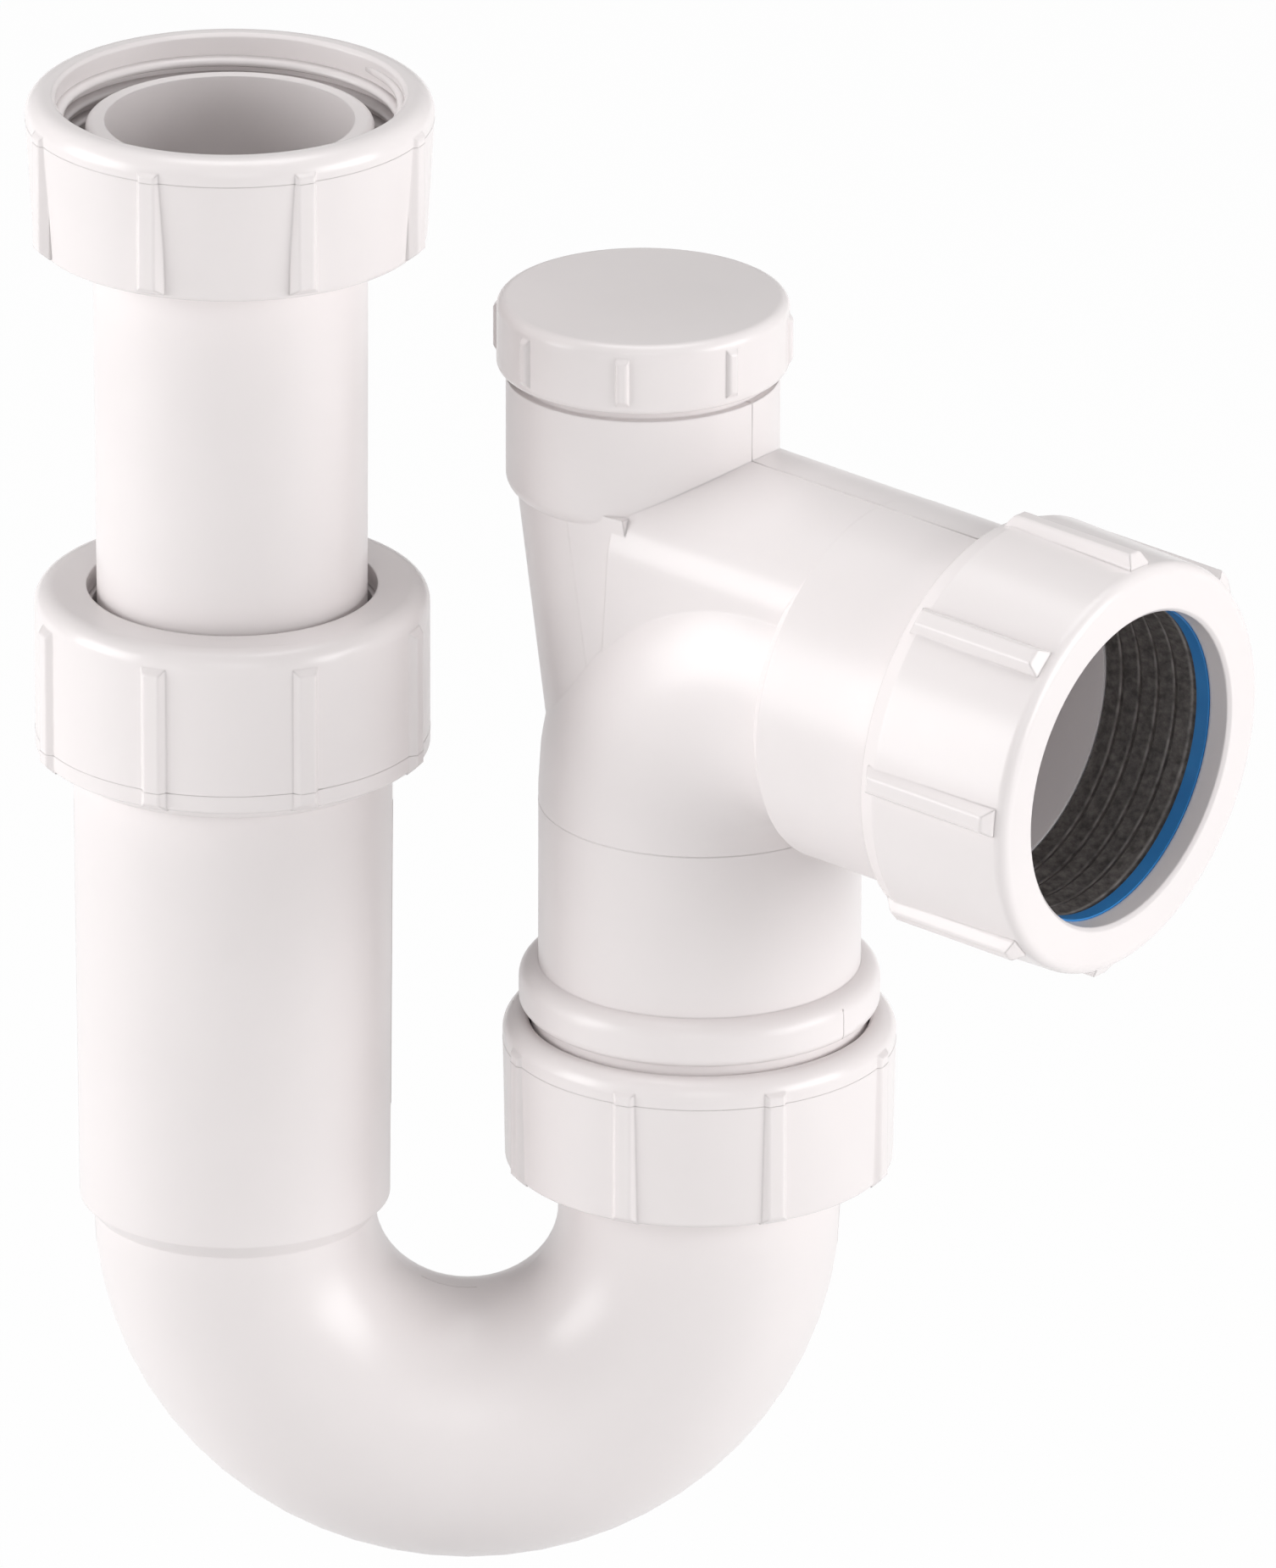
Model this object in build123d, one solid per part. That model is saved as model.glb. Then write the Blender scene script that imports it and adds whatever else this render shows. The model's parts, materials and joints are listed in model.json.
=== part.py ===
from build123d import *
import os
from math import cos, radians, sin

# Anti-siphon P-trap for a 1 1/2 in waste, in millimetres, +Z up.
# The origin is on the inlet axis, at the seat where a waste's tail meets the inlet washer.
# +X runs from the inlet leg to the riser, and the U-bend lies in the XZ plane.

# Layout
leg_spacing = 64.6          # inlet axis to riser axis
seat_to_bend = 152.8        # inlet seat down to the level where the U-bend starts
outlet_turn = -37.5         # degrees about Z from +X to the outlet
outlet_fall = 3.5           # degrees that the outlet slopes down
riser_height = 71.3         # foot of the outlet elbow up to its outlet axis

# Shared clearances
running_gap = 0.3           # between round faces that turn or slide on each other
thread_gap = 0.4            # between two threads, which are modelled as plain cylinders
seat_gap = 0.1              # between flat faces that part when a nut is slackened
washer_thickness = 2.5

# Ribs on the nuts
nut_ribs = 8
rib_width = 4.0
rib_sink = 1.0              # depth of a rib inside the wall that carries it
rib_skirt = 0.25            # flanks start this far inside the wall
rib_crest = 0.56            # crest of a rib, as a share of its width
rib_round = 0.5             # along the crest's edges
rib_end = 1.0               # length of the slope at each end of a rib
rib_half_pitch = 180 / nut_ribs

# Inlet nut and tube
inlet_thread_r = 23.9       # 1 1/2 in pipe thread
inlet_nut_height = 20.5
inlet_nut_wall = 3.1        # at the foot
inlet_rim_wall = 4.3        # at the rim
inlet_lip = 3.0
nut_mouth_chamfer = 0.5
inlet_rim_round = 2.6
rib_top_gap = 1.6           # ribs of the two cup nuts end this far under the rim
nut_foot_round = 0.7
inlet_rib_proud = 1.0
inlet_flange_gap = 1.7      # between the flange's edge and the nut's thread
inlet_flange = 3.0
tail_space = 4.1            # between the spigot and the nut's thread, for the waste's tail
spigot_wall = 2.65
spigot_rise = 7.9
spigot_round = 1.0
tube_wall = 1.75
tube_end_wall = 1.35
tube_below_seat = 110.0

# Long leg and its compression nut
leg_length = 86.0           # bend level up to the leg's mouth
leg_slide_gap = 0.7         # between the tube and the leg's bore
leg_wall = 2.5
leg_end_wall = 2.0
leg_shoulder = 2.2
leg_bore_taper = 4.4
leg_head_wall = 2.3         # between the seal's pocket and the thread
leg_head_below_nut = 2.0
head_round = 1.4
seal_pocket_step = 2.6      # pocket's radius over the bore's
seal_pocket_depth = 7.0
slip_nut_height = 23.6
slip_nut_wall = 2.4
slip_lip = 3.0
slip_hole_gap = 1.2         # between the tube and the nut's hole
slip_top_round = 2.6
slip_washer_thickness = 1.6
slip_washer_gap = 0.6       # between the tube and the slip washer
slip_seal_flange = 2.0
slip_seal_tip = 1.0
slip_rib_proud = 0.9

# U-bend and short leg
bend_bore_r = 17.2
bend_wall = 2.4
short_leg_length = 13.7     # bend level up to the short leg's flange face
short_flange_step = 3.0     # flange's radius over the leg's
short_flange = 3.0

# Union nut
union_nut_height = 21.7
union_nut_wall = 3.2        # at the foot
union_rim_wall = 3.6        # at the rim
union_lip = 2.8
union_rib_proud = 0.9

# Outlet elbow
riser_bore_step = 2.8       # riser's bore radius over the bend's
riser_wall = 2.4
elbow_foot_step = 0.8       # threaded foot's radius over the short leg's flange
bend_throat = 0.7           # inside of the elbow's bend, past the pipe's own radius
collar_step = 1.7           # collar's radius over the threaded foot
collar_height = 6.5
collar_above_foot = 14.3
collar_top_round = 2.6
collar_foot_round = 1.4
hood_half_width = 18.5      # flat flanks of the hood over the bend
hood_back = -3.0            # along the outlet, from the riser axis
hood_edge_round = 9.0
hood_drop = 0.05            # hood's arch under the socket's face
pipe_r = 21.5               # plain waste pipe that the socket takes
pipe_gap = 0.4              # between the pipe and the socket's bore
pipe_depth = 30.6           # socket's end back to the stop
socket_start = 27.4
socket_end = 66.6
socket_ridge = 2.0          # length of the bevel up to the socket
socket_thread_length = 15.0
socket_thread_step = 1.0    # thread's radius over the socket's
socket_rim_wall = 2.0       # between the seal's cone and the thread
seal_cone_depth = 13.4
seal_cone_ledge = 1.4       # cone's end over the socket's bore
seal_cone_flare = 1.5       # cone's mouth over its end

# Outlet nut, slip ring and seal
outlet_seal_flange = 2.0
slip_ring_thickness = 2.0
slip_ring_gap = 0.75        # between the pipe and the slip ring
outlet_lip = 3.4
outlet_hole_gap = 1.0       # between the pipe and the nut's hole
outlet_hole_chamfer = 0.5
outlet_nut_length = 24.4
outlet_nut_wall = 2.7       # at the back
outlet_front_wall = 2.1
outlet_band = 2.6           # bevelled band at the nut's back
outlet_band_step = 0.9
outlet_face_round = 1.6
outlet_rib_proud = 1.3
outlet_rib_turn = -2.0      # degrees round the outlet axis
seal_gap = 0.5              # between the pipe and the seal's ridges
seal_groove = 0.5
seal_ridges = 5
seal_ridge_slope = 0.7      # share of a ridge's length that slopes away

# Anti-siphon chamber
chamber_offset = 10.1       # behind the riser axis
chamber_r = 18.9
chamber_wall = 2.3
chamber_floor_above_axis = 17.1
chamber_floor_round = 2.6
duct_top_step = 1.3         # duct's top inside the chamber's wall
duct_foot_step = 3.4        # duct's foot inside the riser's wall
duct_foot_below_axis = 34.0
duct_wall = 2.2
cheek_proud = 0.1           # flat cheeks over the duct's widest line
neck_step = 1.0             # threaded neck inside the chamber's wall
neck_wall = 2.3
neck_top_above_axis = 40.0
neck_length = 6.2

# Cap, gasket, valve seat and diaphragm
cap_wall = 1.9
cap_height = 10.0
cap_top = 2.0
cap_top_round = 1.4
cap_foot_round = 1.0
cap_rib_proud = 0.6
cap_rib_width = 2.2
cap_rib_turn = -8.0         # degrees about Z
gasket_thickness = 1.5
insert_flange_step = 0.5    # flange's edge inside the neck's
insert_flange = 1.5
insert_wall = 1.9
insert_depth = 8.0
insert_floor = 1.5
seat_ring_width = 1.6
seat_below_flange = 0.7     # seat rings' top under the flange's underside
air_bore_r = 7.0
diaphragm_gap = 0.4         # between the diaphragm's edge and the insert
diaphragm_overlap = 0.8     # diaphragm over the air bore
diaphragm_thickness = 1.2
air_ports = 6
air_port_width = 4.0
air_port_height = 2.0

# Radii worked out from the sizes above, each piece from the one that it fits
inlet_nut_r = inlet_thread_r + inlet_nut_wall
inlet_rim_r = inlet_thread_r + inlet_rim_wall
inlet_flange_r = inlet_thread_r - inlet_flange_gap
spigot_r = inlet_thread_r - tail_space
tube_bore_r = spigot_r - spigot_wall
tube_top_r = tube_bore_r + tube_wall
tube_end_r = tube_bore_r + tube_end_wall
leg_bore_r = tube_top_r + leg_slide_gap
leg_top_r = leg_bore_r + leg_wall
leg_end_r = leg_bore_r + leg_end_wall
seal_pocket_r = leg_bore_r + seal_pocket_step
leg_head_r = seal_pocket_r + leg_head_wall
slip_thread_r = leg_head_r + thread_gap
slip_nut_r = slip_thread_r + slip_nut_wall
slip_hole_r = tube_top_r + slip_hole_gap
bend_tube_r = bend_bore_r + bend_wall
short_flange_r = bend_tube_r + short_flange_step
riser_bore_r = bend_bore_r + riser_bore_step
riser_r = riser_bore_r + riser_wall
elbow_bend_r = riser_r + bend_throat
elbow_thread_r = short_flange_r + elbow_foot_step
collar_r = elbow_thread_r + collar_step
union_thread_r = elbow_thread_r + thread_gap
union_nut_r = union_thread_r + union_nut_wall
union_rim_r = union_thread_r + union_rim_wall
socket_bore_r = pipe_r + pipe_gap
seal_cone_end_r = socket_bore_r + seal_cone_ledge
seal_cone_mouth_r = seal_cone_end_r + seal_cone_flare
socket_thread_r = seal_cone_mouth_r + socket_rim_wall
socket_r = socket_thread_r - socket_thread_step
outlet_thread_r = socket_thread_r + thread_gap
outlet_nut_r = outlet_thread_r + outlet_nut_wall
outlet_front_r = outlet_thread_r + outlet_front_wall
outlet_hole_r = pipe_r + outlet_hole_gap
slip_ring_bore_r = pipe_r + slip_ring_gap
seal_inner_r = pipe_r + seal_gap
neck_r = chamber_r - neck_step
neck_bore_r = neck_r - neck_wall
cap_skirt_r = neck_r + thread_gap
cap_r = cap_skirt_r + cap_wall
insert_flange_r = neck_r - insert_flange_step
insert_wall_r = neck_bore_r - running_gap
insert_bore_r = insert_wall_r - insert_wall
diaphragm_r = insert_bore_r - diaphragm_gap
gasket_bore_r = insert_bore_r + diaphragm_gap
diaphragm_bore_r = air_bore_r - diaphragm_overlap
duct_top_r = chamber_r - duct_top_step
duct_foot_r = riser_r - duct_foot_step
socket_stop = socket_end - pipe_depth
socket_thread_start = socket_end - socket_thread_length

# Levels worked out from the sizes above
bend_z = -seat_to_bend
leg_mouth_z = bend_z + leg_length
slip_lip_z = leg_mouth_z + slip_seal_flange + slip_washer_thickness + seat_gap
slip_top_z = slip_lip_z + slip_lip
slip_foot_z = slip_top_z - slip_nut_height
inlet_flange_z = -washer_thickness - inlet_flange
inlet_foot_z = inlet_flange_z - running_gap - inlet_lip
short_flange_z = bend_z + short_leg_length
union_foot_z = short_flange_z - short_flange - running_gap - union_lip
elbow_foot_z = short_flange_z + washer_thickness + seat_gap
outlet_z = elbow_foot_z + riser_height
chamber_floor_z = outlet_z + chamber_floor_above_axis
neck_top_z = outlet_z + neck_top_above_axis
cap_ceiling_z = neck_top_z + insert_flange + seat_gap + gasket_thickness
cap_top_z = cap_ceiling_z + cap_top
outlet_face_t = socket_end + outlet_seal_flange + slip_ring_thickness + seat_gap + outlet_lip

# Frames of the outlet (Z along the outlet, Y up) and of the chamber
turn = radians(outlet_turn)
fall = radians(outlet_fall)
outlet_way = Vector(cos(turn) * cos(fall), sin(turn) * cos(fall), -sin(fall))
level_way = Vector(cos(turn), sin(turn), 0)
riser_axis = Vector(leg_spacing, 0, 0)
outlet_frame = Plane(
    origin=(leg_spacing, 0, outlet_z),
    x_dir=(-sin(turn), cos(turn), 0),
    z_dir=outlet_way,
)
chamber_axis = riser_axis - level_way * chamber_offset
riser_place = Pos(leg_spacing, 0, 0)
chamber_place = Pos(chamber_axis.X, chamber_axis.Y, 0)
cheek_place = riser_place * Rot(0, 0, outlet_turn)


def turned(points, rounds=()):
    """Solid turned about Z from (radius, height) points; rounds are (point number, radius)."""
    section = make_face(Polyline(*points, close=True))
    for number, radius in rounds:
        corner = section.vertices().sort_by_distance(points[number])[0]
        section = fillet(corner, radius)
    return revolve(Plane.XZ * section, Axis.Z)


def washer(inner_r, outer_r, foot, thickness):
    """Flat ring."""
    top = foot + thickness
    return turned([(inner_r, foot), (outer_r, foot), (outer_r, top), (inner_r, top)])


def ribs(count, radius, proud, width, foot, top, start_angle):
    """Grip ribs on a round wall: ridges with sloped flanks, a narrow crest and sloped ends."""
    middle = Pos(0, (foot + top) / 2)
    length = top - foot
    root = Plane.YZ.offset(radius - rib_sink) * middle * Rectangle(width, length)
    skin = Plane.YZ.offset(radius - rib_skirt) * middle * Rectangle(width, length)
    crest = Plane.YZ.offset(radius + proud) * middle * Rectangle(rib_crest * width, length - 2 * rib_end)
    bar = loft([root, skin, crest], ruled=True)
    bar = fillet(bar.faces().sort_by(Axis.X)[-1].edges(), rib_round)
    return [Rot(0, 0, start_angle + 360 / count * i) * bar for i in range(count)]


def cup_nut(hole_r, lip, thread_r, foot_r, rim_r, height, foot_round, rim_round):
    """Nut with its lip at Z = 0 and its threaded mouth upwards."""
    points = [
        (hole_r, 0),
        (foot_r, 0),
        (rim_r, height),
        (thread_r + nut_mouth_chamfer, height),
        (thread_r, height - nut_mouth_chamfer),
        (thread_r, lip),
        (hole_r, lip),
    ]
    return turned(points, [(1, foot_round), (2, rim_round)])


def make_inlet_tube():
    """Telescopic tube: spigot, flange for the washer, then a slightly tapered pipe."""
    points = [
        (tube_bore_r, spigot_rise),
        (spigot_r, spigot_rise),
        (spigot_r, -washer_thickness),
        (inlet_flange_r, -washer_thickness),
        (inlet_flange_r, inlet_flange_z),
        (tube_top_r, inlet_flange_z),
        (tube_end_r, -tube_below_seat),
        (tube_bore_r, -tube_below_seat),
    ]
    return turned(points, [(1, spigot_round)])


def make_inlet_nut():
    """Swivel nut that hangs on the inlet tube's flange."""
    nut = cup_nut(
        tube_top_r + running_gap, inlet_lip, inlet_thread_r, inlet_nut_r, inlet_rim_r,
        inlet_nut_height, nut_foot_round, inlet_rim_round,
    )
    middle_r = (inlet_nut_r + inlet_rim_r) / 2
    nut += ribs(
        nut_ribs, middle_r, inlet_rib_proud, rib_width,
        nut_foot_round, inlet_nut_height - rib_top_gap, rib_half_pitch,
    )
    return Pos(0, 0, inlet_foot_z) * nut


def make_union_nut():
    """Nut that hangs on the short leg's flange and draws the elbow down on its washer."""
    nut = cup_nut(
        bend_tube_r + running_gap, union_lip, union_thread_r, union_nut_r, union_rim_r,
        union_nut_height, nut_foot_round, inlet_rim_round,
    )
    nut += ribs(
        nut_ribs, union_nut_r, union_rib_proud, rib_width,
        0, union_nut_height - rib_top_gap, rib_half_pitch,
    )
    return Pos(leg_spacing, 0, union_foot_z) * nut


def make_slip_nut():
    """Compression nut on the long leg, with its lip at the top."""
    points = [
        (slip_hole_r, slip_top_z),
        (slip_nut_r, slip_top_z),
        (slip_nut_r, slip_foot_z),
        (slip_thread_r, slip_foot_z),
        (slip_thread_r, slip_lip_z),
        (slip_hole_r, slip_lip_z),
    ]
    nut = turned(points, [(1, slip_top_round), (2, nut_foot_round)])
    nut += ribs(
        nut_ribs, slip_nut_r, slip_rib_proud, rib_width,
        slip_foot_z, slip_top_z - slip_top_round, rib_half_pitch,
    )
    return nut


def make_slip_seal():
    """Rubber seal: a flange on the leg's mouth and a cone inside it."""
    inner_r = tube_top_r + running_gap
    points = [
        (inner_r, leg_mouth_z + slip_seal_flange),
        (leg_head_r - running_gap, leg_mouth_z + slip_seal_flange),
        (leg_head_r - running_gap, leg_mouth_z),
        (seal_pocket_r - running_gap, leg_mouth_z),
        (inner_r + slip_seal_tip, leg_mouth_z - seal_pocket_depth + running_gap),
        (inner_r, leg_mouth_z - seal_pocket_depth + running_gap),
    ]
    return turned(points)


def bend(radius):
    """Half ring under both legs."""
    section = Plane.XY.offset(bend_z) * Circle(radius)
    middle = Axis((leg_spacing / 2, 0, bend_z), (0, -1, 0))
    return revolve(section, middle, revolution_arc=180)


def make_trap_body():
    """Long leg with its threaded head, U-bend and short leg with its flange."""
    head_foot_z = slip_foot_z - leg_head_below_nut
    leg = turned(
        [
            (0, leg_mouth_z),
            (leg_head_r, leg_mouth_z),
            (leg_head_r, head_foot_z),
            (leg_top_r, head_foot_z),
            (leg_end_r, bend_z + leg_shoulder),
            (bend_tube_r, bend_z),
            (0, bend_z),
        ],
        [(2, head_round)],
    )
    leg_bore = turned(
        [
            (0, leg_mouth_z),
            (seal_pocket_r, leg_mouth_z),
            (seal_pocket_r, leg_mouth_z - seal_pocket_depth),
            (leg_bore_r, leg_mouth_z - seal_pocket_depth),
            (leg_bore_r, bend_z + leg_bore_taper),
            (bend_bore_r, bend_z),
            (0, bend_z),
        ]
    )
    short_leg = riser_place * turned(
        [
            (0, bend_z),
            (bend_tube_r, bend_z),
            (bend_tube_r, short_flange_z - short_flange),
            (short_flange_r, short_flange_z - short_flange),
            (short_flange_r, short_flange_z),
            (0, short_flange_z),
        ]
    )
    short_bore = riser_place * Pos(0, 0, bend_z) * Cylinder(
        bend_bore_r, short_leg_length, align=(Align.CENTER, Align.CENTER, Align.MIN)
    )
    walls = leg + bend(bend_tube_r) + short_leg
    return walls - (leg_bore + bend(bend_bore_r) + short_bore)


def along_outlet(points, rounds=()):
    """Solid turned about the outlet axis from (radius, distance from the riser axis) points."""
    return outlet_frame * turned(points, rounds)


def bent_pipe(radius, length):
    """Riser, bend and outlet branch as one swept pipe."""
    foot = Vector(leg_spacing, 0, elbow_foot_z)
    corner = Vector(leg_spacing, 0, outlet_z)
    path = FilletPolyline(foot, corner, corner + outlet_way * length, radius=elbow_bend_r)
    return sweep(Plane(origin=foot) * Circle(radius), path)


def hood(radius, half_width, edge_round, back, front):
    """Arched hood over the bend with flat flanks, from under the chamber to the socket."""
    arch = Circle(radius) & Rectangle(2 * half_width, radius, align=(Align.CENTER, Align.MIN))
    shoulders = arch.vertices().sort_by(Axis.Y)[-2:]
    arch = fillet(shoulders, edge_round)
    return outlet_frame * Pos(0, 0, back) * extrude(arch, front - back)


def duct(top_r, foot_r, top_z, foot_z):
    """Slanted cone from the chamber's floor down to the riser, with flat cheeks beside the bend."""
    top = Plane.XY.offset(top_z) * chamber_place * Circle(top_r)
    foot = Plane.XY.offset(foot_z) * riser_place * Circle(foot_r)
    cone = loft([foot, top], ruled=True)
    cheek_top = Plane.XY.offset(top_z) * cheek_place * Pos(-chamber_offset / 2, 0) * Rectangle(
        chamber_offset, 2 * (top_r + cheek_proud)
    )
    cheek_foot = Plane.XY.offset(foot_z) * cheek_place * Pos(chamber_offset / 2, 0) * Rectangle(
        chamber_offset, 2 * (foot_r + cheek_proud)
    )
    return cone + loft([cheek_foot, cheek_top], ruled=True)


def make_outlet_elbow():
    """Riser, elbow, bonnet, socket, chamber and duct as one hollow moulding."""
    collar_z = elbow_foot_z + collar_above_foot
    foot = riser_place * turned(
        [
            (riser_bore_r, elbow_foot_z),
            (elbow_thread_r, elbow_foot_z),
            (elbow_thread_r, collar_z),
            (collar_r, collar_z),
            (collar_r, collar_z + collar_height),
            (riser_bore_r, collar_z + collar_height),
        ],
        [(3, collar_foot_round), (4, collar_top_round)],
    )
    socket = along_outlet(
        [
            (0, socket_start),
            (socket_r - socket_ridge, socket_start),
            (socket_r, socket_start + socket_ridge),
            (socket_r, socket_thread_start),
            (socket_thread_r, socket_thread_start),
            (socket_thread_r, socket_end),
            (0, socket_end),
        ]
    )
    socket_bore = along_outlet(
        [
            (0, socket_stop),
            (socket_bore_r, socket_stop),
            (socket_bore_r, socket_end - seal_cone_depth),
            (seal_cone_end_r, socket_end - seal_cone_depth),
            (seal_cone_mouth_r, socket_end),
            (0, socket_end),
        ]
    )
    chamber = chamber_place * turned(
        [
            (0, chamber_floor_z),
            (chamber_r, chamber_floor_z),
            (chamber_r, neck_top_z - neck_length),
            (neck_r, neck_top_z - neck_length),
            (neck_r, neck_top_z),
            (0, neck_top_z),
        ],
        [(1, chamber_floor_round)],
    )
    chamber_bore = chamber_place * turned(
        [
            (0, chamber_floor_z + chamber_wall),
            (chamber_r - chamber_wall, chamber_floor_z + chamber_wall),
            (chamber_r - chamber_wall, neck_top_z - neck_length - chamber_wall),
            (neck_bore_r, neck_top_z - neck_length),
            (neck_bore_r, neck_top_z),
            (0, neck_top_z),
        ]
    )
    duct_foot_z = outlet_z - duct_foot_below_axis
    duct_top_z = chamber_floor_z + chamber_floor_round
    walls = bent_pipe(riser_r, socket_start + socket_ridge) + foot + socket + chamber
    hood_r = socket_r - hood_drop
    walls += hood(hood_r, hood_half_width, hood_edge_round, hood_back, socket_start + socket_ridge)
    walls += duct(duct_top_r, duct_foot_r, duct_top_z, duct_foot_z)
    hollow = bent_pipe(riser_bore_r, socket_stop) + socket_bore + chamber_bore
    hollow += hood(
        hood_r - riser_wall, hood_half_width - riser_wall, hood_edge_round,
        hood_back + riser_wall, socket_stop,
    )
    hollow += duct(
        duct_top_r - duct_wall, duct_foot_r - duct_wall, chamber_floor_z + chamber_wall, duct_foot_z
    )
    moulding = walls - hollow
    for port in air_port_cutters():
        moulding -= port
    return moulding


def air_port_cutters():
    """Windows that let air through the neck and the valve seat's wall."""
    height = neck_top_z - insert_depth / 2
    window = Box(neck_r, air_port_width, air_port_height, align=(Align.MIN, Align.CENTER, Align.CENTER))
    channel_r = (air_bore_r + insert_bore_r) / 2
    window = Pos(channel_r, 0, height) * window
    return [chamber_place * Rot(0, 0, 360 / air_ports * i) * window for i in range(air_ports)]


def make_valve_seat():
    """Insert with a flange on the neck, an air channel and two seat rings."""
    flange_top = neck_top_z + insert_flange
    seat_z = neck_top_z - seat_below_flange
    floor_z = neck_top_z - insert_depth
    seat = turned(
        [
            (air_bore_r, floor_z),
            (insert_wall_r, floor_z),
            (insert_wall_r, neck_top_z),
            (insert_flange_r, neck_top_z),
            (insert_flange_r, flange_top),
            (insert_bore_r, flange_top),
            (insert_bore_r, seat_z),
            (insert_bore_r - seat_ring_width, seat_z),
            (insert_bore_r - seat_ring_width, floor_z + insert_floor),
            (air_bore_r + seat_ring_width, floor_z + insert_floor),
            (air_bore_r + seat_ring_width, seat_z),
            (air_bore_r, seat_z),
        ]
    )
    seat = chamber_place * seat
    for port in air_port_cutters():
        seat -= port
    return seat


def make_valve_diaphragm():
    """Loose rubber ring that lies on both seat rings and covers the air channel."""
    seat_z = neck_top_z - seat_below_flange
    return chamber_place * washer(diaphragm_bore_r, diaphragm_r, seat_z, diaphragm_thickness)


def make_valve_cap():
    """Ribbed screw cap with a flat top."""
    foot = cap_top_z - cap_height
    cap = turned(
        [
            (0, cap_top_z),
            (cap_r, cap_top_z),
            (cap_r, foot),
            (cap_skirt_r, foot),
            (cap_skirt_r, cap_ceiling_z),
            (0, cap_ceiling_z),
        ],
        [(1, cap_top_round), (2, cap_foot_round)],
    )
    cap += ribs(
        nut_ribs, cap_r, cap_rib_proud, cap_rib_width, foot + cap_foot_round, cap_top_z - cap_top_round,
        cap_rib_turn,
    )
    return chamber_place * cap


def make_cap_seal():
    """Flat gasket under the cap's ceiling."""
    foot = cap_ceiling_z - gasket_thickness
    return chamber_place * washer(gasket_bore_r, insert_flange_r, foot, gasket_thickness)


def make_outlet_nut():
    """Large compression nut on the outlet socket, with its lip at the front."""
    back_t = outlet_face_t - outlet_nut_length
    nut = turned(
        [
            (outlet_hole_r + outlet_hole_chamfer, outlet_face_t),
            (outlet_front_r, outlet_face_t),
            (outlet_nut_r, back_t + outlet_band),
            (outlet_nut_r - outlet_band_step, back_t),
            (outlet_thread_r, back_t),
            (outlet_thread_r, outlet_face_t - outlet_lip),
            (outlet_hole_r, outlet_face_t - outlet_lip),
            (outlet_hole_r, outlet_face_t - outlet_hole_chamfer),
        ],
        [(1, outlet_face_round)],
    )
    nut += ribs(
        nut_ribs, outlet_nut_r, outlet_rib_proud, rib_width,
        back_t + outlet_band / 2, outlet_face_t - outlet_face_round, outlet_rib_turn,
    )
    return outlet_frame * nut


def make_outlet_slip_ring():
    """Blue ring between the nut's lip and the seal."""
    foot = socket_end + outlet_seal_flange
    return outlet_frame * washer(slip_ring_bore_r, socket_thread_r, foot, slip_ring_thickness)


def make_outlet_seal():
    """Black seal: a flange on the socket's mouth and a cone inside it, ridged on its bore."""
    front = socket_end + outlet_seal_flange
    back = socket_end - seal_cone_depth + running_gap
    points = [
        (seal_inner_r + seal_groove, front),
        (socket_thread_r, front),
        (socket_thread_r, socket_end),
        (seal_cone_mouth_r - running_gap, socket_end),
        (seal_cone_end_r - running_gap, back),
    ]
    step = (front - back) / seal_ridges
    for i in range(seal_ridges):
        crest = back + step * i
        points.append((seal_inner_r, crest))
        points.append((seal_inner_r + seal_groove, crest + step * seal_ridge_slope))
    return outlet_frame * turned(points)


pieces = {
    "inlet_nut": make_inlet_nut(),
    "inlet_washer": washer(spigot_r + running_gap, inlet_flange_r, -washer_thickness, washer_thickness),
    "inlet_tube": make_inlet_tube(),
    "slip_nut": make_slip_nut(),
    "slip_washer": washer(
        tube_top_r + slip_washer_gap, leg_head_r, leg_mouth_z + slip_seal_flange, slip_washer_thickness
    ),
    "slip_seal": make_slip_seal(),
    "trap_body": make_trap_body(),
    "union_nut": make_union_nut(),
    "union_washer": riser_place * washer(bend_bore_r, short_flange_r, short_flange_z, washer_thickness),
    "outlet_elbow": make_outlet_elbow(),
    "outlet_nut": make_outlet_nut(),
    "outlet_slip_ring": make_outlet_slip_ring(),
    "outlet_seal": make_outlet_seal(),
    "valve_cap": make_valve_cap(),
    "cap_seal": make_cap_seal(),
    "valve_seat": make_valve_seat(),
    "valve_diaphragm": make_valve_diaphragm(),
}

os.makedirs("parts", exist_ok=True)
for name, solid in pieces.items():
    export_step(solid, f"parts/{name}.step")
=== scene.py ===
import json
from math import cos, pi, radians, sin

import bmesh
import bpy
from mathutils import Matrix, Vector
from mathutils.bvhtree import BVHTree


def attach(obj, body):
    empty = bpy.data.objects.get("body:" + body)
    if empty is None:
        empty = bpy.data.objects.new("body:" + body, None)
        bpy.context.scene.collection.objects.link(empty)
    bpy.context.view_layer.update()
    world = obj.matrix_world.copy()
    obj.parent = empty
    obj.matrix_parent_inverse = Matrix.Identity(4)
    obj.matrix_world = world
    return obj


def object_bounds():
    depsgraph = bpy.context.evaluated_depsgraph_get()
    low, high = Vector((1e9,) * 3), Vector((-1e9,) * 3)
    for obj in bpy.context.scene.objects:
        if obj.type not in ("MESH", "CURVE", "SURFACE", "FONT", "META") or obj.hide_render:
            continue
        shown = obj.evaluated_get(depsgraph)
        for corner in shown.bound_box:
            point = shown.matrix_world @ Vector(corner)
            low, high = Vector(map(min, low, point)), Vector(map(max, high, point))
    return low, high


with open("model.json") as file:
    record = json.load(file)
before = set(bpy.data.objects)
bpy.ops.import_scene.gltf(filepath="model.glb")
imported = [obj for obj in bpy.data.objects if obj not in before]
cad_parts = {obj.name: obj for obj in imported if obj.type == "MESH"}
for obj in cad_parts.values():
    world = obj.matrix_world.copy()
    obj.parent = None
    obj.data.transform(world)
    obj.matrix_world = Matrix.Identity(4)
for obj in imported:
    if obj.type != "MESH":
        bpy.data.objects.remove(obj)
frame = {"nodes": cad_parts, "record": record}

cad_low, cad_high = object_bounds()

MM = 0.001

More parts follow.
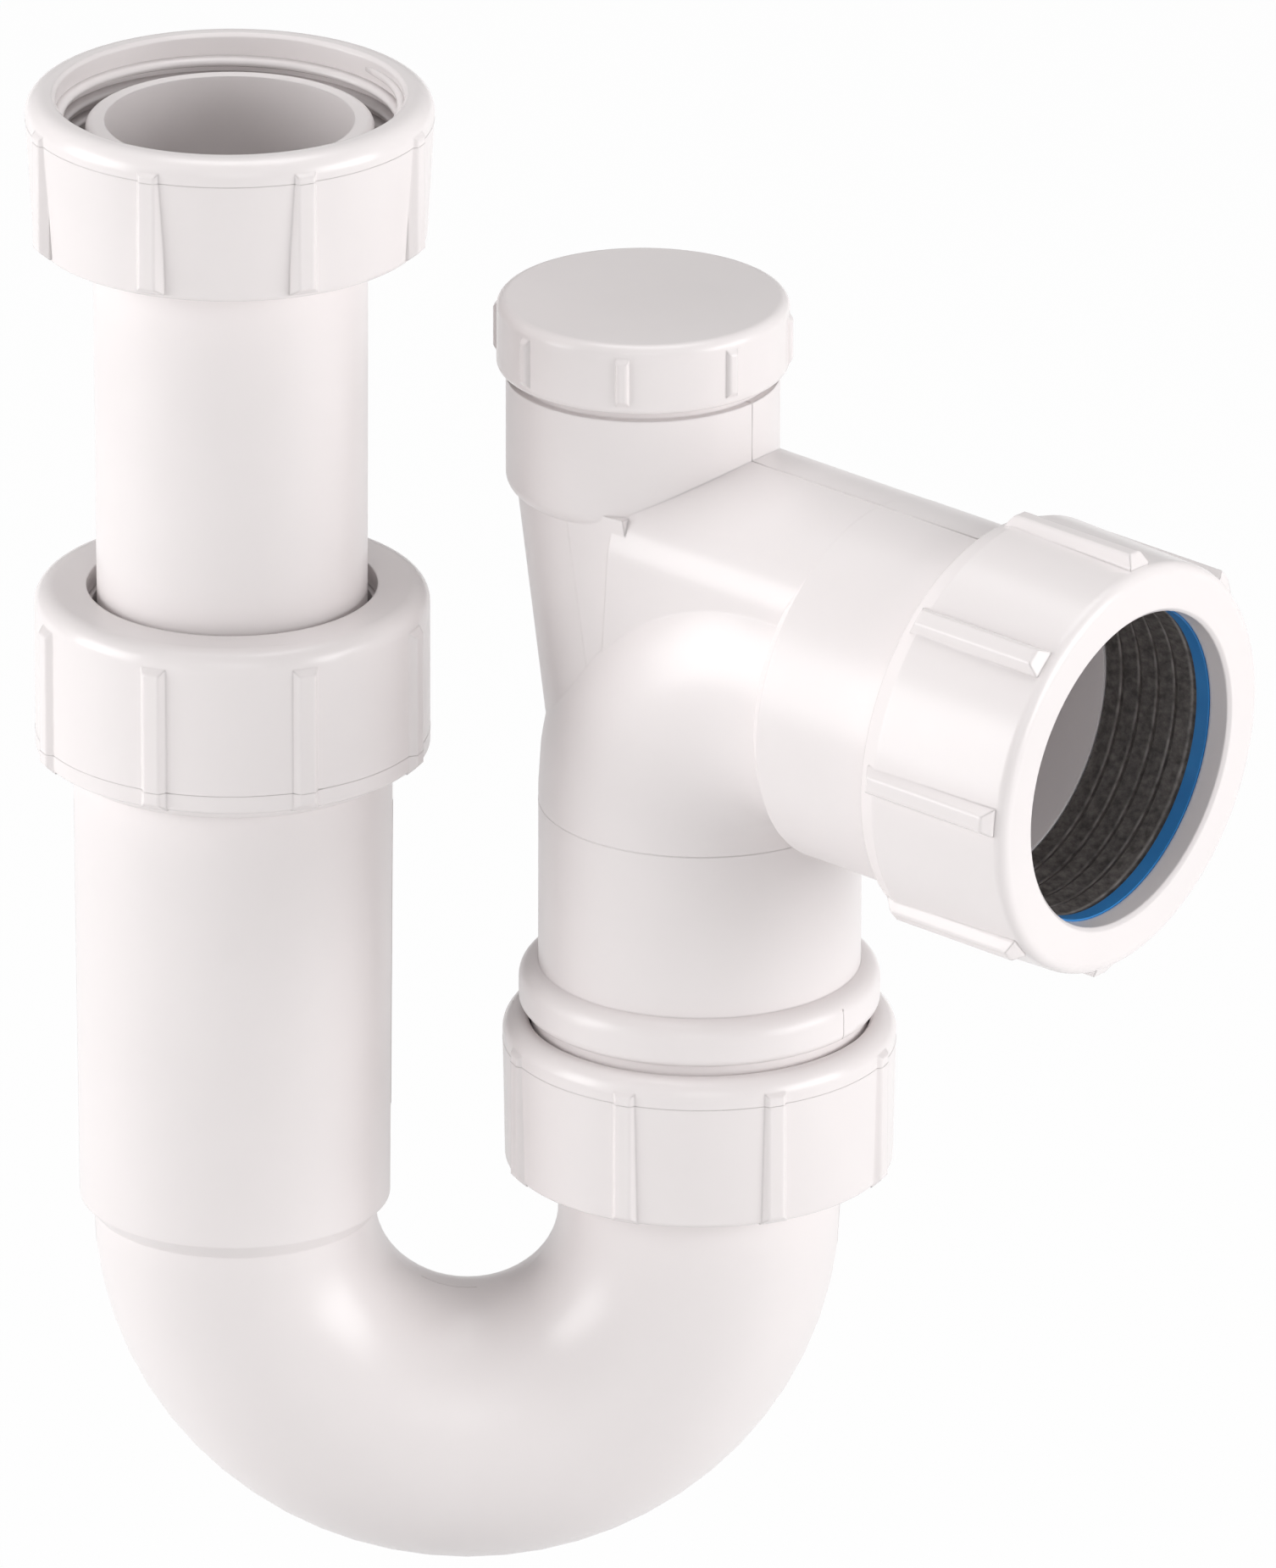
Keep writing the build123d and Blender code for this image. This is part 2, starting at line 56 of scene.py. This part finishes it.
# Sizes of the part, in mm, as its solids have them
LEG_SPACING = 64.6
OUTLET_TURN = radians(-37.5)
OUTLET_FALL = radians(3.5)
OUTLET_Z = -65.2
OUTLET_WAY = Vector((
    cos(OUTLET_TURN) * cos(OUTLET_FALL),
    sin(OUTLET_TURN) * cos(OUTLET_FALL),
    -sin(OUTLET_FALL),
))
ELBOW_SIDE = (-sin(OUTLET_TURN), cos(OUTLET_TURN), 0)
SOCKET_NUT_BACK = 49.0
COLLAR_FOOT = -121.6
CAP_FOOT = -30.6
SLIP_NUT_FOOT = -90.5
UNION_NUT_FOOT = -146
SEAL_RIDGE_PITCH = 3.02


# Materials

# Most of a noise texture's values lie between these two.
NOISE_LOW = 0.3
NOISE_HIGH = 0.7
# Sockets of a Mix node that mixes colours
MIX_FACTOR, MIX_A, MIX_B, MIX_RESULT = 0, 6, 7, 2


class Nodes:
    """Short hand for building a node material."""

    def __init__(self, name):
        self.material = bpy.data.materials.new(name)
        self.material.use_nodes = True
        self.tree = self.material.node_tree
        self.tree.nodes.clear()
        self.out = self.add("ShaderNodeOutputMaterial")
        self.shader = self.add("ShaderNodeBsdfPrincipled")
        self.link(self.shader.outputs[0], self.out.inputs[0])
        self.place = self.add("ShaderNodeTexCoord").outputs["Object"]

    def add(self, kind):
        return self.tree.nodes.new(kind)

    def link(self, source, target):
        self.tree.links.new(source, target)

    def give(self, source, name):
        """Link a value to the shader's socket of that name."""
        self.link(source, self.shader.inputs[name])

    def noise(self, scale, detail, rough=0.5):
        node = self.add("ShaderNodeTexNoise")
        node.inputs["Scale"].default_value = scale
        node.inputs["Detail"].default_value = detail
        node.inputs["Roughness"].default_value = rough
        self.link(self.place, node.inputs["Vector"])
        return node.outputs[0]

    def ramp(self, factor, stops):
        node = self.add("ShaderNodeValToRGB")
        while len(node.color_ramp.elements) < len(stops):
            node.color_ramp.elements.new(0.5)
        for element, (place, colour) in zip(node.color_ramp.elements, stops):
            element.position = place
            element.color = (*colour, 1)
        self.link(factor, node.inputs[0])
        return node.outputs[0]

    def spread(self, factor, low, high):
        """Spread a noise over the values from low to high."""
        node = self.add("ShaderNodeMapRange")
        node.inputs["From Min"].default_value = NOISE_LOW
        node.inputs["From Max"].default_value = NOISE_HIGH
        node.inputs["To Min"].default_value = low
        node.inputs["To Max"].default_value = high
        self.link(factor, node.inputs["Value"])
        return node.outputs[0]

    def bump(self, height, distance, strength, normal=None):
        node = self.add("ShaderNodeBump")
        node.inputs["Distance"].default_value = distance
        node.inputs["Strength"].default_value = strength
        self.link(height, node.inputs["Height"])
        if normal is not None:
            self.link(normal, node.inputs["Normal"])
        return node.outputs[0]


def white_plastic(name, tint, roughness):
    """Satin moulded polypropylene with faint flow mottling, sink waves and a fine tool grain."""
    mottle_share = 0.972
    edge_round = 0.45 * MM
    wave_height = 0.10 * MM
    grain_height = 0.008 * MM
    m = Nodes(name)
    low = tuple(mottle_share * c for c in tint)
    m.give(m.ramp(m.noise(38, 4), [(NOISE_LOW, low), (NOISE_HIGH, tint)]), "Base Color")
    m.give(m.spread(m.noise(160, 2), roughness - 0.012, roughness + 0.016), "Roughness")
    edge = m.add("ShaderNodeBevel")
    edge.samples = 4
    edge.inputs["Radius"].default_value = edge_round
    waves = m.bump(m.noise(85, 1), wave_height, 0.35, edge.outputs[0])
    m.give(m.bump(m.noise(1900, 2), grain_height, 0.2, waves), "Normal")
    m.shader.inputs["IOR"].default_value = 1.49
    return m.material


def black_rubber():
    """Moulded rubber with dust and a painted highlight along the seal's ridges."""
    dark = (0.050, 0.044, 0.041)
    worn = (0.150, 0.135, 0.126)
    # Pale colour for the ridge crests: partly dust, partly a painted highlight.
    dust_and_highlight = (0.48, 0.45, 0.43)
    bare, dusty_and_lit = (0, 0, 0), (1, 1, 1)
    grain_height = 0.04 * MM
    m = Nodes("black_rubber")
    base = m.ramp(m.noise(900, 6, 0.65), [(0.36, dark), (0.68, worn)])
    along = m.add("ShaderNodeVectorMath")
    along.operation = "DOT_PRODUCT"
    along.inputs[1].default_value = OUTLET_WAY / (SEAL_RIDGE_PITCH * MM)
    m.link(m.place, along.inputs[0])
    part = m.add("ShaderNodeMath")
    part.operation = "FRACT"
    m.link(along.outputs["Value"], part.inputs[0])
    # Band on each ridge crest that takes the dust and painted highlight colour, broken into
    # patches by a noise.
    crest = m.ramp(part.outputs[0], [(0.0, bare), (0.55, bare), (0.68, dusty_and_lit), (0.8, bare)])
    patchy = m.add("ShaderNodeMath")
    patchy.operation = "MULTIPLY"
    m.link(crest, patchy.inputs[0])
    m.link(m.spread(m.noise(420, 5), 0.05, 1.0), patchy.inputs[1])
    mix = m.add("ShaderNodeMix")
    mix.data_type = "RGBA"
    m.link(patchy.outputs[0], mix.inputs[MIX_FACTOR])
    m.link(base, mix.inputs[MIX_A])
    mix.inputs[MIX_B].default_value = (*dust_and_highlight, 1)
    m.give(mix.outputs[MIX_RESULT], "Base Color")
    m.give(m.spread(m.noise(700, 4), 0.48, 0.68), "Roughness")
    m.give(m.bump(m.noise(1500, 4), grain_height, 0.5), "Normal")
    return m.material


def plain_rubber(name, dark, light):
    """Matt washer rubber with a fine grain."""
    grain_height = 0.03 * MM
    m = Nodes(name)
    m.give(m.ramp(m.noise(260, 5), [(0.3, dark), (0.72, light)]), "Base Color")
    m.give(m.spread(m.noise(700, 4), 0.55, 0.75), "Roughness")
    m.give(m.bump(m.noise(1500, 4), grain_height, 0.4), "Normal")
    return m.material


def blue_plastic():
    """Satin blue slip ring."""
    deep = (0.026, 0.215, 0.560)
    light = (0.034, 0.260, 0.640)
    grain_height = 0.02 * MM
    m = Nodes("blue_plastic")
    m.give(m.ramp(m.noise(150, 4), [(NOISE_LOW, deep), (NOISE_HIGH, light)]), "Base Color")
    m.give(m.spread(m.noise(600, 4), 0.3, 0.42), "Roughness")
    m.give(m.bump(m.noise(1800, 3), grain_height, 0.3), "Normal")
    return m.material


WHITE = (0.862, 0.815, 0.812)
BODY_ROUGHNESS = 0.31
NUT_ROUGHNESS = 0.24
looks = {
    "white_body": white_plastic("white_body", WHITE, BODY_ROUGHNESS),
    "white_nut": white_plastic("white_nut", WHITE, NUT_ROUGHNESS),
    "black_rubber": black_rubber(),
    "grey_washer": plain_rubber("grey_washer", (0.30, 0.30, 0.29), (0.38, 0.38, 0.37)),
    "blue_ring": blue_plastic(),
}
for subpart in frame["record"]["subparts"]:
    node = frame["nodes"][subpart["node"]]
    node.data.materials.clear()
    node.data.materials.append(looks[subpart["material_slot"]])


# Pieces that the solids leave to this script

def piece(name, rings_of_tubes, body, slot):
    """Piece made of closed tube skins, each through rings of points and capped at both ends."""
    bm = bmesh.new()
    for rings in rings_of_tubes:
        rows = [[bm.verts.new(p) for p in ring] for ring in rings]
        count = len(rows[0])
        for a, b in zip(rows, rows[1:]):
            for i in range(count):
                j = (i + 1) % count
                bm.faces.new((a[i], a[j], b[j], b[i]))
        bm.faces.new(rows[0][::-1])
        bm.faces.new(rows[-1])
    bmesh.ops.recalc_face_normals(bm, faces=bm.faces)
    mesh = bpy.data.meshes.new(name)
    bm.to_mesh(mesh)
    bm.free()
    for polygon in mesh.polygons:
        polygon.use_smooth = True
    obj = bpy.data.objects.new(name, mesh)
    bpy.context.scene.collection.objects.link(obj)
    mesh.materials.append(looks[slot])
    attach(obj, body)


def helix(wall_r, crest_r, pitch, foot, turns, start):
    """Rings of a thread ridge inside a nut, in mm; its crest fades out at both ends."""
    steps = 72
    fade_steps = 0.12 * steps
    sink = 0.25
    half_foot, half_crest = 0.42 * pitch, 0.12 * pitch
    rings = []
    total = int(turns * steps)
    for i in range(total + 1):
        angle = start + 2 * pi * i / steps
        z = foot + pitch * i / steps
        fade = min(1.0, i / fade_steps, (total - i) / fade_steps)
        tip = wall_r - (wall_r - crest_r) * fade
        back = wall_r + sink
        profile = (back, -half_foot), (tip, -half_crest), (tip, half_crest), (back, half_foot)
        rings.append([Vector((r * cos(angle), r * sin(angle), z + dz)) * MM for r, dz in profile])
    return rings


thread = helix(
    wall_r=23.9, crest_r=22.75, pitch=2.31, foot=1.2, turns=3.7, start=radians(150),
)
piece("inlet_thread_turns", [thread], "swivel_nut", "white_nut")


def cut_chains(bm, point, normal):
    """Chains of vertices where a plane cuts a mesh, as lists of (place, surface normal)."""
    parts = bm.verts[:] + bm.edges[:] + bm.faces[:]
    cut = bmesh.ops.bisect_plane(bm, geom=parts, dist=1e-8, plane_co=point, plane_no=normal)
    bm.normal_update()
    near = {}
    for edge in cut["geom_cut"]:
        if isinstance(edge, bmesh.types.BMEdge):
            a, b = edge.verts
            near.setdefault(a, []).append(b)
            near.setdefault(b, []).append(a)
    chains = []
    left = set(near)
    while left:
        ends = [v for v in left if len(near[v]) == 1]
        at = min(ends or left, key=lambda v: tuple(v.co))
        chain = [at]
        left.discard(at)
        while True:
            following = [v for v in near[at] if v in left]
            if not following:
                break
            at = following[0]
            left.discard(at)
            chain.append(at)
        closed = len(chain) > 2 and chain[0] in near[chain[-1]]
        points = [(v.co.copy(), v.normal.copy()) for v in chain]
        chains.append(points + points[:1] if closed else points)
    return chains


def outer_runs(chains, tree, keep):
    """Split chains into runs that lie on the outside of the solid and that keep() accepts."""
    ray_start = 0.2 * MM
    ray_reach = 0.08
    least_step = 0.12 * MM
    least_points = 4
    runs = []
    for chain in chains:
        run = []
        for place, way in chain:
            clear = tree.ray_cast(place + way * ray_start, way, ray_reach)[0] is None
            if clear and keep(place / MM):
                if not run or (place - run[-1][0]).length > least_step:
                    run.append((place, way))
            else:
                runs.append(run)
                run = []
        runs.append(run)
    return [run for run in runs if len(run) >= least_points]


def mould_line(name, node, body, slot, point, normal, keep, proud, half_width):
    """Fine ridge that a mould's parting leaves where a plane cuts the outside of a solid."""
    sink = 0.15
    half_crest = 0.35 * half_width
    profile = (
        (-half_width, -sink), (-half_crest, proud), (half_crest, proud), (half_width, -sink),
    )
    solid = frame["nodes"][node]
    bm = bmesh.new()
    bm.from_mesh(solid.data)
    bm.transform(solid.matrix_world)
    bmesh.ops.remove_doubles(bm, verts=bm.verts, dist=1e-7)
    tree = BVHTree.FromBMesh(bm)
    side = Vector(normal).normalized()
    runs = outer_runs(cut_chains(bm, Vector(point) * MM, side), tree, keep)
    bm.free()
    tubes = []
    for run in runs:
        rings = []
        for place, way in run:
            lift = (way - side * way.dot(side)).normalized()
            rings.append([place + (side * a + lift * b) * MM for a, b in profile])
        tubes.append(rings)
    piece(name, tubes, body, slot)


def on_bare_elbow(p):
    """Outside of the elbow that no nut or cap covers."""
    along = (p - Vector((LEG_SPACING, 0, OUTLET_Z))).dot(OUTLET_WAY)
    return along < SOCKET_NUT_BACK and COLLAR_FOOT < p.z < CAP_FOOT


def on_bare_trap(p):
    """Outside of the long leg and the bend under the nuts."""
    return p.z < (SLIP_NUT_FOOT if p.x < LEG_SPACING / 2 else UNION_NUT_FOOT)


def anywhere(p):
    return True


RISER_RING_Z = -91.8
mould_line(
    "elbow_parting_line", "outlet_elbow", "elbow", "white_body",
    (LEG_SPACING, 0, 0), ELBOW_SIDE, on_bare_elbow, proud=0.10, half_width=0.20,
)
mould_line(
    "trap_parting_line", "trap_body", "trap", "white_body",
    (0, 0, 0), (0, 1, 0), on_bare_trap, proud=0.06, half_width=0.18,
)
mould_line(
    "riser_ring_line", "outlet_elbow", "elbow", "white_body",
    (0, 0, RISER_RING_Z), (0, 0, 1), on_bare_elbow, proud=0.025, half_width=0.25,
)
for node, body, level in (
    ("inlet_nut", "swivel_nut", 8.2),
    ("slip_nut", "leg_nut", -81.0),
    ("union_nut", "joining_nut", -127.4),
):
    mould_line(
        node + "_line", node, body, "white_nut",
        (0, 0, level), (0, 0, 1), anywhere, proud=0.03, half_width=0.14,
    )


# Stage, light and camera, in metres and watts

MIDDLE = (0.056, 0, -0.09)
FLOOR_SIZE = 6
# The trap slides 24 mm down its tube, and the floor stays clear of it.
FLOOR_DROP = 0.034
FLOOR_TONE = 0.78
FLOOR_WHITE_SHARE = 0.97
SKY_STRENGTH = 0.30


def floor_pale():
    """Matt to the light, and white to the camera and in reflections."""
    material = bpy.data.materials.new("floor_pale")
    material.use_nodes = True
    tree = material.node_tree
    tree.nodes.clear()
    out = tree.nodes.new("ShaderNodeOutputMaterial")
    mix = tree.nodes.new("ShaderNodeMixShader")
    matt = tree.nodes.new("ShaderNodeBsdfDiffuse")
    matt.inputs[0].default_value = (FLOOR_TONE, FLOOR_TONE, FLOOR_TONE, 1)
    white = tree.nodes.new("ShaderNodeEmission")
    white.inputs[0].default_value = (1, 1, 1, 1)
    path = tree.nodes.new("ShaderNodeLightPath")
    seen = tree.nodes.new("ShaderNodeMath")
    seen.operation = "MAXIMUM"
    share = tree.nodes.new("ShaderNodeMath")
    share.operation = "MULTIPLY"
    share.inputs[1].default_value = FLOOR_WHITE_SHARE
    for source, target in (
        (path.outputs["Is Camera Ray"], seen.inputs[0]),
        (path.outputs["Is Glossy Ray"], seen.inputs[1]),
        (seen.outputs[0], share.inputs[0]),
        (share.outputs[0], mix.inputs[0]),
        (matt.outputs[0], mix.inputs[1]),
        (white.outputs[0], mix.inputs[2]),
        (mix.outputs[0], out.inputs[0]),
    ):
        tree.links.new(source, target)
    return material


def stage_floor():
    bm = bmesh.new()
    bmesh.ops.create_grid(bm, x_segments=1, y_segments=1, size=FLOOR_SIZE)
    mesh = bpy.data.meshes.new("floor")
    bm.to_mesh(mesh)
    bm.free()
    floor = bpy.data.objects.new("floor", mesh)
    floor.location = (MIDDLE[0], 0, cad_low.z - FLOOR_DROP)
    bpy.context.scene.collection.objects.link(floor)
    mesh.materials.append(floor_pale())


def softbox(name, place, width, height, power):
    lamp = bpy.data.lights.new(name, "AREA")
    lamp.shape = "RECTANGLE"
    lamp.size = width
    lamp.size_y = height
    lamp.energy = power
    obj = bpy.data.objects.new(name, lamp)
    obj.location = place
    obj.rotation_mode = "QUATERNION"
    obj.rotation_quaternion = (Vector(MIDDLE) - Vector(place)).to_track_quat("-Z", "Y")
    bpy.context.scene.collection.objects.link(obj)


stage_floor()
softbox("left", (-1.35, -0.30, 0.20), 1.0, 1.0, 15.5)
softbox("right", (1.36, -0.55, 0.02), 1.0, 1.0, 17.0)
softbox("front", (0.10, -1.60, 0.50), 0.8, 0.8, 2.8)
softbox("top", (0.1, 0.15, 1.25), 0.9, 0.7, 7.0)

world = bpy.data.worlds.new("world")
world.use_nodes = True
sky = world.node_tree.nodes["Background"]
sky.inputs[0].default_value = (1, 1, 1, 1)
sky.inputs[1].default_value = SKY_STRENGTH
bpy.context.scene.world = world

# The camera that was fitted to the circles in the photo
IMAGE_HEIGHT = 1850
FOCAL_PIXELS = 27101.6
SENSOR_WIDTH = 36
CAMERA_ELEVATION = radians(21.754)
CAMERA_ROLL = 0.00203
CAMERA_AIM = Vector((56.01, 0, -89.83)) * MM
CAMERA_DISTANCE = 3.1766

camera = bpy.data.objects.new("camera", bpy.data.cameras.new("camera"))
bpy.context.scene.collection.objects.link(camera)
bpy.context.scene.camera = camera
camera.data.sensor_width = SENSOR_WIDTH
camera.data.lens = SENSOR_WIDTH * FOCAL_PIXELS / IMAGE_HEIGHT
camera.data.clip_start = 0.05
camera.data.clip_end = 50
back = Vector((0, -cos(CAMERA_ELEVATION), sin(CAMERA_ELEVATION)))
facing = (-back).to_track_quat("-Z", "Y").to_matrix().to_4x4()
place = CAMERA_AIM + back * CAMERA_DISTANCE
camera.matrix_world = Matrix.Translation(place) @ facing @ Matrix.Rotation(CAMERA_ROLL, 4, "Z")

bpy.context.scene.view_settings.view_transform = "Standard"
